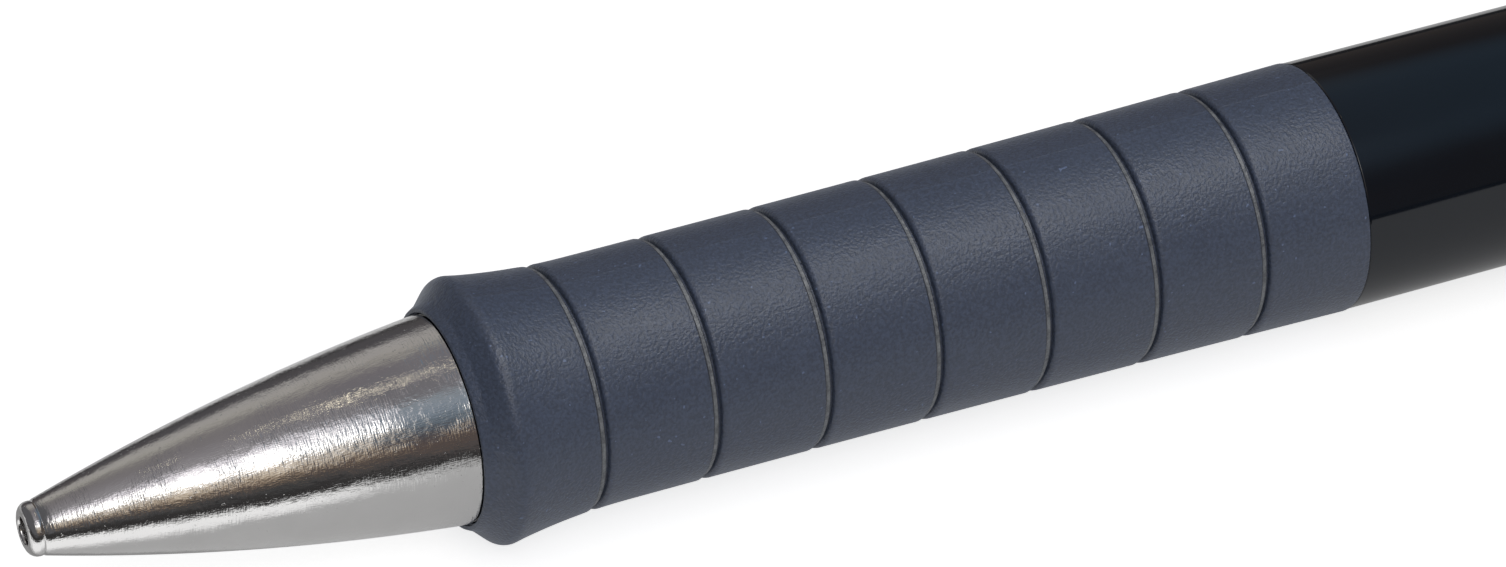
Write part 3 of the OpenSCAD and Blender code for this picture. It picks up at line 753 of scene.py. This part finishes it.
class PEN_OT_add_barrel(bpy.types.Operator):
    """Add the glossy barrel, the trim ring and the rear sleeve"""

    bl_idname = "pen.add_barrel"
    bl_label = "Barrel"

    def execute(self, context):
        sizes = context.scene.pen_sizes
        gloss = finish("polished_black")
        chrome = finish("bright_plating")
        edge = 0.12
        thread_bore = sizes.thread_radius + 0.05
        thread_end = INSERT_X1 + 0.25
        step = GRIP_X1 + 3
        barrel = lathe("gloss_barrel_tube", rounded(
            (BARREL_X0, thread_bore, 0.15),
            (BARREL_X0, sizes.seat_radius, 0.1),
            (GRIP_X1, sizes.seat_radius),
            (GRIP_X1, BARREL_R, edge),
            (BARREL_X1, BARREL_R, edge),
            (BARREL_X1, sizes.bore_radius, edge),
            (step, sizes.bore_radius),
            (step, sizes.refill_bore),
            (thread_end, sizes.refill_bore),
            (thread_end, thread_bore),
        ))
        place(barrel, "pen_barrel", "black_gloss", gloss, "barrel")
        spigot = sizes.bore_radius - 0.05
        trim = lathe("chrome_trim_ring", rounded(
            (TRIM_X0, sizes.bore_radius),
            (TRIM_X0, TRIM_R, 0.3),
            (TRIM_X1, TRIM_R, 0.3),
            (TRIM_X1, sizes.bore_radius),
        ))
        place(trim, "pen_barrel", "chrome", chrome, "trim_ring")
        knock_x = REAR_X1 - 24.59
        collar_step = REAR_X1 - 3.85
        collar_bore = sizes.bore_radius + 0.4
        rear = lathe("gloss_rear_sleeve", rounded(
            (REAR_X0, sizes.refill_bore),
            (REAR_X0, spigot, 0.3),
            (TRIM_X1, spigot),
            (TRIM_X1, BARREL_R, edge),
            (REAR_X1, BARREL_R, edge),
            (REAR_X1, collar_bore),
            (collar_step, collar_bore),
            (collar_step, sizes.bore_radius),
            (knock_x, sizes.bore_radius),
            (knock_x, sizes.refill_bore),
        ))
        place(rear, "pen_barrel", "black_gloss", gloss, "rear_sleeve")
        return {"FINISHED"}


# The clip

class PEN_OT_add_clip(bpy.types.Operator):
    """Add the stamped clip, one strip from its ring round the bend to its pressing bump and raised tip"""

    bl_idname = "pen.add_clip"
    bl_label = "Clip"

    def execute(self, context):
        sizes = context.scene.pen_sizes
        thick = RING_X1 - RING_X0
        outer = sizes.clip_outer
        inner = outer - thick
        bump_x = ARM_X0 + sizes.clip_bump
        bump_height = BARREL_R + 0.06
        beside_bump = bump_height + 0.45
        slope = 8.0
        sunk = BARREL_R - 0.3
        arm = steps_between(bump_x + slope + 2, RING_X0 - 2, 24)
        side = rounded(
            (RING_X1, sunk),
            (RING_X1, outer, thick + 0.3),
            *[(x, outer) for x in reversed(arm)],
            (bump_x + slope, outer, 5.0),
            (bump_x, outer - sizes.clip_dip, 3.5),
            (ARM_X0, outer),
            (ARM_X0, inner),
            (bump_x - 1.3, beside_bump, 0.8),
            (bump_x, bump_height, 0.9),
            (bump_x + 1.5, beside_bump, 0.8),
            (bump_x + slope, inner, 5.0),
            *[(x, inner) for x in arm],
            (RING_X0, inner, 0.3),
            (RING_X0, sunk),
        )
        half = sizes.clip_width / 2 + 0.5
        places = [(AXIS * x + CLIP_OUT * height - CLIP_SIDE * half) * MM for x, height in side]
        strip = prism("chrome_clip", places, CLIP_SIDE * 2 * half * MM)
        combine(strip, self.plan(sizes), "INTERSECT")
        apply_modifier(
            strip, "BEVEL", width=0.12 * MM, segments=3, limit_method="ANGLE", angle_limit=math.radians(50))
        ring_bore = sizes.bore_radius + 0.4
        ring = lathe("clip_ring_blank", rounded(
            (RING_X0, ring_bore),
            (RING_X0, BARREL_R, 0.08),
            (RING_X1, BARREL_R, 0.08),
            (RING_X1, ring_bore),
        ), steps=96)
        combine(strip, ring, "UNION")
        smooth(strip)
        place(strip, None, "chrome", finish("bright_plating"), "clip_ring", "clip_arm")
        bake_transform(strip)
        return {"FINISHED"}

    def plan(self, sizes):
        """The clip seen from above: a slightly tapered strip with a round tip."""
        half = sizes.clip_width / 2
        tip_half = half - 0.35
        outline = rounded(
            (ARM_X0, -tip_half, tip_half * 0.95),
            (ARM_X0, tip_half, tip_half * 0.95),
            (RING_X1 + 1, half),
            (RING_X1 + 1, -half),
        )
        foot = CLIP_OUT * 3.0
        places = [(AXIS * x + CLIP_SIDE * across + foot) * MM for x, across in outline]
        return prism("clip_plan", places, CLIP_OUT * 8 * MM)


# The knock

class PEN_OT_add_knock(bpy.types.Operator):
    """Add the chrome end collar and the push button"""

    bl_idname = "pen.add_knock"
    bl_label = "Collar and button"

    def execute(self, context):
        sizes = context.scene.pen_sizes
        chrome = finish("bright_plating")
        spigot = sizes.bore_radius + 0.35
        spigot_bore = spigot - 0.45
        lip_x = COLLAR_X1 - 1.8
        collar = lathe("chrome_end_collar", rounded(
            (COLLAR_X0, spigot_bore, 0.1),
            (COLLAR_X0, spigot, 0.15),
            (RING_X1, spigot),
            (RING_X1, COLLAR_R, 0.25),
            (COLLAR_X1, COLLAR_R, 0.5),
            (COLLAR_X1, sizes.button_radius + 0.08, 0.15),
            (lip_x, sizes.button_radius + 0.08),
            (lip_x, spigot_bore),
        ))
        place(collar, "pen_barrel", "chrome", chrome, "end_collar")
        flange_end = BUTTON_X0 + 1.2
        button_bore = sizes.button_radius - 1.1
        roof_x = BUTTON_X1 - 2.6
        dish = 0.08
        button = lathe("chrome_push_button", rounded(
            (BUTTON_X0, button_bore),
            (BUTTON_X0, FLANGE_R, 0.15),
            (flange_end, FLANGE_R, 0.15),
            (flange_end, sizes.button_radius),
            (BUTTON_X1, sizes.button_radius, sizes.button_round),
            (BUTTON_X1, sizes.button_radius * 0.62, 3.0),
            (BUTTON_X1 - dish, 0),
            (roof_x, 0),
            (roof_x, button_bore),
        ))
        place(button, "button", "chrome", chrome, "push_button")
        return {"FINISHED"}


# The refill and its spring

def coil_rise(turn, turns, wire, length):
    """How far a wire's middle has risen after some turns, with closed turns at both ends."""
    closed = 1.25
    pitch = (length - wire * (1 + 2 * closed)) / (turns - 2 * closed)
    if turn < closed:
        return turn * wire
    if turn > turns - closed:
        return length - wire - (turns - turn) * wire
    return closed * wire + (turn - closed) * pitch


class PEN_OT_add_spring(bpy.types.Operator):
    """Add the retract spring as a round wire, with closed turns at both ends"""

    bl_idname = "pen.add_spring"
    bl_label = "Retract spring"

    def execute(self, context):
        sizes = context.scene.pen_sizes
        steps = 28
        radius = SPRING_R - sizes.wire / 2
        length = SPRING_X1 - SPRING_X0
        curve = bpy.data.curves.new("retract_coil", "CURVE")
        curve.dimensions = "3D"
        curve.bevel_depth = sizes.wire / 2 * MM
        curve.bevel_resolution = 3
        curve.use_fill_caps = True
        spline = curve.splines.new("POLY")
        spline.points.add(sizes.spring_turns * steps)
        for i, point in enumerate(spline.points):
            x = SPRING_X0 + sizes.wire / 2 + coil_rise(i / steps, sizes.spring_turns, sizes.wire, length)
            turn = math.tau * i / steps
            point.co = (x * MM, radius * math.cos(turn) * MM, radius * math.sin(turn) * MM, 1)
        coil = bpy.data.objects.new("retract_coil", curve)
        context.scene.collection.objects.link(coil)
        select_only(coil)
        bpy.ops.object.convert(target="MESH")
        coil = context.object
        smooth(coil)
        place(coil, "spring", "spring_steel", finish("coiled_wire"), "retract_spring")
        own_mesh(coil)
        return {"FINISHED"}


class PEN_OT_add_needle(bpy.types.Operator):
    """Add the refill's needle, with its end crimped round the ball, and finish the inner parts"""

    bl_idname = "pen.add_needle"
    bl_label = "Needle and inner parts"

    def execute(self, context):
        bore = NEEDLE_R - 0.16
        socket = BALL_R + 0.015
        ball_x = (BALL_X0 + BALL_X1) / 2
        lip = math.sqrt(socket ** 2 - (ball_x - NEEDLE_X0) ** 2)
        cup = [(ball_x + socket * math.sin(turn), socket * math.cos(turn))
               for turn in steps_between(math.radians(50), math.asin((NEEDLE_X0 - ball_x) / socket), 8)]
        feed = 0.6 * BALL_R
        needle = lathe("crimped_needle", cup[:-1] + rounded(
            (NEEDLE_X0, lip),
            (NEEDLE_X0, lip + 0.06, 0.02),
            (NEEDLE_X0 + 0.7, NEEDLE_R, 0.5),
            (NEEDLE_X1, NEEDLE_R),
            (NEEDLE_X1, bore),
            (ball_x + 2 * BALL_R, bore),
            (ball_x + 2 * BALL_R, feed),
            (ball_x + socket * math.sin(math.radians(55)), feed),
        ), steps=64)
        place(needle, "refill", "needle_steel", finish("drawn_steel"), "needle_pipe")
        for node, kind in (
            ("writing_ball", "ground_carbide"),
            ("ball_spring", "coiled_wire"),
            ("tip_holder", "moulded_holder"),
            ("tail_plug", "moulded_holder"),
            ("refill_tube", "clear_tube"),
            ("gel_ink", "dark_ink"),
            ("grease_plug", "soft_grease"),
            ("cam_sleeve", "moulded_cam"),
            ("cam_rotor", "moulded_cam"),
            ("knock_plunger", "moulded_cam"),
        ):
            finish_node(node, finish(kind))
        return {"FINISHED"}


# The stage

CAMERA_AZIMUTH = math.radians(-24.63)
CAMERA_ELEVATION = math.radians(35.22)
CAMERA_DISTANCE = 297.6 * MM
CAMERA_LENS = 169.14
LOOK_ALONG = 33.49 * MM
LOOK_SIDE = -0.891 * MM
LOOK_UP = 1.979 * MM

FLOOR_SIZE = 8
FLOOR_TONES = (0.79, 0.79, 0.80), (0.82, 0.82, 0.82)
# Colour of the dim room past the table's edges and of the painted shadow behind the tip, both seen only in
# gloss.
ROOM_AND_SHADOW_TONE = (0.10, 0.095, 0.095)
TABLE_BACK = 0.06
TABLE_FRONT = -0.014
TABLE_SLANT = 0.9
TABLE_LIFT = 0.64
FAR_LIFT = 0.26
TABLE_GLOW = 0.12
TABLE_SHEEN = 0.15
# Strength of the painted pool of light in front of the pen, seen only in gloss.
NEAR_PAINTED_LIGHT = 0.75
# How dark the painted shadow behind the tip is.
TIP_SHADE = 0.85

KEY_TURN = math.radians(46)
KEY_DISTANCE = 0.5
KEY_ALONG = -0.015
KEY_WIDTH = 0.22
KEY_HEIGHT = 0.15
KEY_POWER = 0.42
RUBBER_POWER = 0.95
FILL_POWER = 1.2
WORLD_LEVEL = 0.3

TENT_RADIUS = 0.9
LOW_END_TONE = (0.12, 0.10, 0.088)
HIGH_END_TONE = (0.21, 0.30, 0.40)
FRONT_END_TONE = (0.15, 0.15, 0.16)
TUBE_TONE = (4.2, 3.8, 2.9)
TUBE_SHARE = 0.51
FRONT_BANDS = (
    (0.00, (0.085, 0.088, 0.090)),
    (0.045, (0.090, 0.086, 0.085)),
    (0.075, (0.14, 0.11, 0.090)),
    (0.105, (0.42, 0.31, 0.22)),
    (0.14, (0.95, 0.80, 0.62)),
    (0.19, (1.20, 1.08, 0.95)),
    (0.25, (1.60, 1.55, 1.50)),
    (0.335, (1.65, 1.58, 1.68)),
    (0.385, (0.50, 0.48, 0.50)),
    (0.47, (0.37, 0.35, 0.37)),
    (0.57, (0.30, 0.28, 0.29)),
    (0.64, (0.30, 0.28, 0.28)),
    (0.70, (0.42, 0.40, 0.37)),
    (0.735, (0.56, 0.54, 0.50)),
    (0.835, (0.52, 0.50, 0.48)),
    (0.86, (0.145, 0.13, 0.13)),
    (1.00, (0.11, 0.10, 0.105)),
)
REAR_BANDS = (
    (0.00, (0.11, 0.105, 0.11)),
    (0.08, (0.15, 0.11, 0.095)),
    (0.15, (0.10, 0.10, 0.12)),
    (0.215, (0.20, 0.25, 0.30)),
    (0.28, (0.34, 0.40, 0.48)),
    (0.34, (0.38, 0.43, 0.48)),
    (0.39, (0.25, 0.24, 0.26)),
    (0.55, (0.26, 0.25, 0.27)),
    (0.64, (0.25, 0.23, 0.25)),
    (0.70, (0.42, 0.40, 0.37)),
    (0.735, (0.53, 0.50, 0.47)),
    (0.835, (0.52, 0.50, 0.49)),
    (0.86, (0.115, 0.11, 0.12)),
    (1.00, (0.10, 0.095, 0.10)),
)


def look(origin, target):
    """The rotation that turns a light or a camera at origin towards target."""
    return (Vector(target) - Vector(origin)).to_track_quat("-Z", "Y").to_euler()


def make_camera():
    """A long lens close over the front of the pen, which lies with its point towards the lower left."""
    a, e = CAMERA_AZIMUTH, CAMERA_ELEVATION
    back = Vector((math.sin(a) * math.cos(e), -math.cos(a) * math.cos(e), math.sin(e)))
    right = Vector((math.cos(a), math.sin(a), 0))
    up = back.cross(right)
    target = AXIS * LOOK_ALONG + right * LOOK_SIDE + up * LOOK_UP
    bpy.ops.object.camera_add(location=target + back * CAMERA_DISTANCE)
    camera = bpy.context.object
    camera.name = "pen_camera"
    camera.rotation_euler = Matrix((right, up, back)).transposed().to_euler()
    camera.data.lens = CAMERA_LENS
    camera.data.sensor_width = 36
    camera.data.clip_start = 0.01
    camera.data.clip_end = 20
    bpy.context.scene.camera = camera


def make_softbox(name, place_of, target, width, height, power, tint, in_gloss=True):
    """A soft rectangular lamp that faces a target."""
    bpy.ops.object.light_add(type="AREA", location=place_of)
    lamp = bpy.context.object
    lamp.name = name
    lamp.rotation_euler = look(place_of, target)
    lamp.data.shape = "RECTANGLE"
    lamp.data.size = width
    lamp.data.size_y = height
    lamp.data.energy = power
    lamp.data.color = tint
    lamp.visible_glossy = in_gloss
    lamp.visible_transmission = in_gloss
    lamp.visible_camera = False
    return lamp


def soften(lamp, low, high):
    """Fades a strip lamp out at its upper and lower edges, and gradually towards the pen's rear."""
    lamp.data.use_nodes = True
    tree = lamp.data.node_tree
    x, _, z = axes(tree, tree.nodes.new("ShaderNodeNewGeometry").outputs["Position"])
    edge = (high - low) * 0.3
    across = times(tree, fade(tree, z, high, high - edge), fade(tree, z, low, low + edge))
    strength = times(tree, fade(tree, x, -0.004, -0.050), across)
    tree.links.new(strength, tree.nodes["Emission"].inputs["Strength"])


def seen_directly(tree):
    """1 on camera rays, and 1 on glossy and transmission rays, as two separate levels."""
    path = tree.nodes.new("ShaderNodeLightPath")
    shiny = calculate(tree, "MAXIMUM", path.outputs["Is Glossy Ray"], path.outputs["Is Transmission Ray"])
    return path.outputs["Is Camera Ray"], shiny


def make_floor():
    """A pale table, as low as the pen's flare, collar and clip. In gloss it ends in a dim room, and shows a
    painted pool of light in front of the pen and a painted shadow behind its tip.
    """
    bpy.ops.object.select_all(action="DESELECT")
    bpy.ops.mesh.primitive_plane_add(size=FLOOR_SIZE, location=(0, 0, cad_low.z))
    floor = bpy.context.object
    floor.name = "pale_table"
    material, tree, shader, place_of = new_material("pale_table", **{
        "Roughness": 0.9,
        "Specular IOR Level": 0.0,
        "Emission Color": (1, 1, 1, 1),
    })
    camera, shiny = seen_directly(tree)
    x, y, _ = axes(tree, place_of)
    slant = calculate(tree, "MULTIPLY_ADD", x, TABLE_SLANT, y)
    before_back = fade(tree, y, TABLE_BACK + 0.004, TABLE_BACK)
    behind_front = fade(tree, slant, TABLE_FRONT - 0.004, TABLE_FRONT + 0.001)
    on_table = times(tree, before_back, behind_front)
    off_table = calculate(tree, "SUBTRACT", 1.0, on_table)

    # Painted light: a bright pool on the table just in front of the pen that only glossy rays see. The chrome
    # cone shows it as a painted reflection line along its lower side.
    painted_light_pool = times(tree, fade(tree, slant, -0.001, -0.0045), fade(tree, x, 0.019, 0.010))
    table_glow_and_light_pool = calculate(tree, "MULTIPLY_ADD", painted_light_pool, NEAR_PAINTED_LIGHT, TABLE_SHEEN)
    in_gloss = times(tree, times(tree, table_glow_and_light_pool, on_table), shiny)
    distance = tree.nodes.new("ShaderNodeVectorMath")
    distance.operation = "LENGTH"
    tree.links.new(place_of, distance.inputs[0])
    far = fade(tree, distance.outputs["Value"], 0.15, 1.0)
    lift = calculate(tree, "MULTIPLY_ADD", far, FAR_LIFT, TABLE_LIFT)
    even = calculate(tree, "MULTIPLY_ADD", times(tree, off_table, shiny), -TABLE_GLOW, TABLE_GLOW)
    glow = calculate(tree, "ADD", calculate(tree, "MULTIPLY_ADD", camera, lift, in_gloss), even)
    tree.links.new(glow, shader.inputs["Emission Strength"])

    # Painted shadow: for glossy rays, the table under and behind the tip is darkened towards the room's tone,
    # so the tip's front ring reflects a shadow.
    behind_tip = times(tree, fade(tree, y, -0.0008, 0.0006), fade(tree, y, 0.030, 0.018))
    painted_tip_shadow = times(tree, times(tree, behind_tip, TIP_SHADE), fade(tree, x, 0.016, 0.006))
    dim = times(tree, shiny, calculate(tree, "MAXIMUM", off_table, painted_tip_shadow))
    pale = mix_colour(tree, noise(tree, place_of, 300), *FLOOR_TONES)
    tree.links.new(mix_colour(tree, dim, pale, ROOM_AND_SHADOW_TONE), shader.inputs["Base Color"])
    floor.data.materials.append(material)


def banded(tree, share, stops):
    """The tent's colour at its share of the way up one side, over the top and down the other."""
    node = tree.nodes.new("ShaderNodeValToRGB")
    stretch(node.color_ramp, stops)
    tree.links.new(share, node.inputs["Fac"])
    return node.outputs["Color"]


def make_tent():
    """A studio tent that only glossy and transmitted rays see, with pale and dark bands along the pen."""
    bpy.ops.object.select_all(action="DESELECT")
    bpy.ops.mesh.primitive_uv_sphere_add(segments=64, ring_count=32, radius=TENT_RADIUS, location=(0, 0, 0))
    tent = bpy.context.object
    tent.name = "studio_tent"
    bpy.ops.object.shade_smooth()
    material = bpy.data.materials.new("studio_tent")
    material.use_nodes = True
    tree = material.node_tree
    tree.nodes.clear()
    x, y, z = axes(tree, tree.nodes.new("ShaderNodeTexCoord").outputs["Object"])
    turn = calculate(tree, "ARCTAN2", z, times(tree, y, -1.0))
    share = calculate(tree, "MAXIMUM", calculate(tree, "DIVIDE", turn, math.pi), 0.0)
    over_rear = fade(tree, x, -0.035, 0.055)
    tone = mix_colour(tree, over_rear, banded(tree, share, FRONT_BANDS), banded(tree, share, REAR_BANDS))

    height = fade(tree, z, 0.5 * TENT_RADIUS, 0.8 * TENT_RADIUS)
    ends = mix_colour(tree, height, LOW_END_TONE, HIGH_END_TONE)
    ends = mix_colour(tree, fade(tree, x, 0.1, -0.1), ends, FRONT_END_TONE)
    outward = fade(tree, calculate(tree, "ABSOLUTE", x), 0.20 * TENT_RADIUS, 0.45 * TENT_RADIUS)
    tone = mix_colour(tree, outward, tone, ends)

    off_tube = calculate(tree, "ABSOLUTE", calculate(tree, "SUBTRACT", share, TUBE_SHARE))
    tube = times(tree, fade(tree, x, 0.015, 0.05), fade(tree, x, 0.12, 0.08))
    tube = times(tree, tube, fade(tree, off_tube, 0.008, 0.004))
    tone = mix_colour(tree, tube, tone, TUBE_TONE)

    glow = tree.nodes.new("ShaderNodeEmission")
    tree.links.new(tone, glow.inputs["Color"])
    output = tree.nodes.new("ShaderNodeOutputMaterial")
    tree.links.new(glow.outputs["Emission"], output.inputs["Surface"])
    tent.data.materials.append(material)
    tent.visible_camera = False
    tent.visible_diffuse = False
    tent.visible_shadow = False


def make_world():
    """A white surround where it is seen, and a soft even light on the pen."""
    world = bpy.data.worlds.new("pale_surround")
    bpy.context.scene.world = world
    world.use_nodes = True
    tree = world.node_tree
    background = tree.nodes["Background"]
    background.inputs["Color"].default_value = (1, 1, 1, 1)
    seen = calculate(tree, "MAXIMUM", *seen_directly(tree))
    level = calculate(tree, "MULTIPLY_ADD", seen, 1 - WORLD_LEVEL, WORLD_LEVEL)
    tree.links.new(level, background.inputs["Strength"])


def make_lamps():
    """A key strip over the front, a wide fill that gloss doesn't show, and a light on the rubber alone."""
    across = math.cos(KEY_TURN)
    key_place = Vector((KEY_ALONG, -across * KEY_DISTANCE, math.sin(KEY_TURN) * KEY_DISTANCE))
    key = make_softbox(
        "key_strip", key_place, (KEY_ALONG, 0, 0), KEY_WIDTH, KEY_HEIGHT, KEY_POWER, (1, 0.985, 0.96))
    rise = across * KEY_HEIGHT / 2
    soften(key, key_place.z - rise, key_place.z + rise)
    rubber_light = make_softbox(
        "rubber_light", (0.2, -0.15, 0.58), (0.04, 0, 0), 0.16, 0.16, RUBBER_POWER, (1, 0.99, 0.97))
    rubber = bpy.data.collections.new("rubber_light_only")
    rubber.objects.link(bpy.data.objects["rubber_grip"])
    rubber_light.light_linking.receiver_collection = rubber
    make_softbox(
        "broad_fill", (0.03, -0.45, 0.6), (0.05, 0, 0), 0.7, 0.6, FILL_POWER, (1, 1, 1), in_gloss=False)


class PEN_OT_set_stage(bpy.types.Operator):
    """Set the camera, the pale table, the tent and the soft studio lamps"""

    bl_idname = "pen.set_stage"
    bl_label = "Stage"

    def execute(self, context):
        context.scene.view_settings.view_transform = "Standard"
        make_camera()
        make_floor()
        make_tent()
        make_world()
        make_lamps()
        return {"FINISHED"}


# Sidebar and registration

MAKERS = (
    PEN_OT_add_nose,
    PEN_OT_add_nose_insert,
    PEN_OT_add_grip,
    PEN_OT_add_barrel,
    PEN_OT_add_clip,
    PEN_OT_add_knock,
    PEN_OT_add_spring,
    PEN_OT_add_needle,
    PEN_OT_set_stage,
)


class PEN_PT_sidebar(bpy.types.Panel):
    """The pen's pieces and settings"""

    bl_idname = "PEN_PT_sidebar"
    bl_label = "Gel Pen"
    bl_space_type = "VIEW_3D"
    bl_region_type = "UI"
    bl_category = "Gel Pen"

    def draw(self, context):
        column = self.layout.column()
        for maker in MAKERS:
            column.operator(maker.bl_idname)
        for settings in (context.scene.pen_sizes, context.scene.pen_colours):
            column.separator()
            for name in settings.bl_rna.properties.keys():
                if name not in ("rna_type", "name"):
                    column.prop(settings, name)


CLASSES = (PenSizes, PenColours, *MAKERS, PEN_PT_sidebar)


def register():
    for cls in CLASSES:
        bpy.utils.register_class(cls)
    bpy.types.Scene.pen_sizes = bpy.props.PointerProperty(type=PenSizes)
    bpy.types.Scene.pen_colours = bpy.props.PointerProperty(type=PenColours)


def unregister():
    del bpy.types.Scene.pen_colours
    del bpy.types.Scene.pen_sizes
    for cls in reversed(CLASSES):
        bpy.utils.unregister_class(cls)


def main():
    register()
    for maker in MAKERS:
        getattr(bpy.ops.pen, maker.bl_idname.removeprefix("pen."))()


if __name__ == "__main__":
    main()
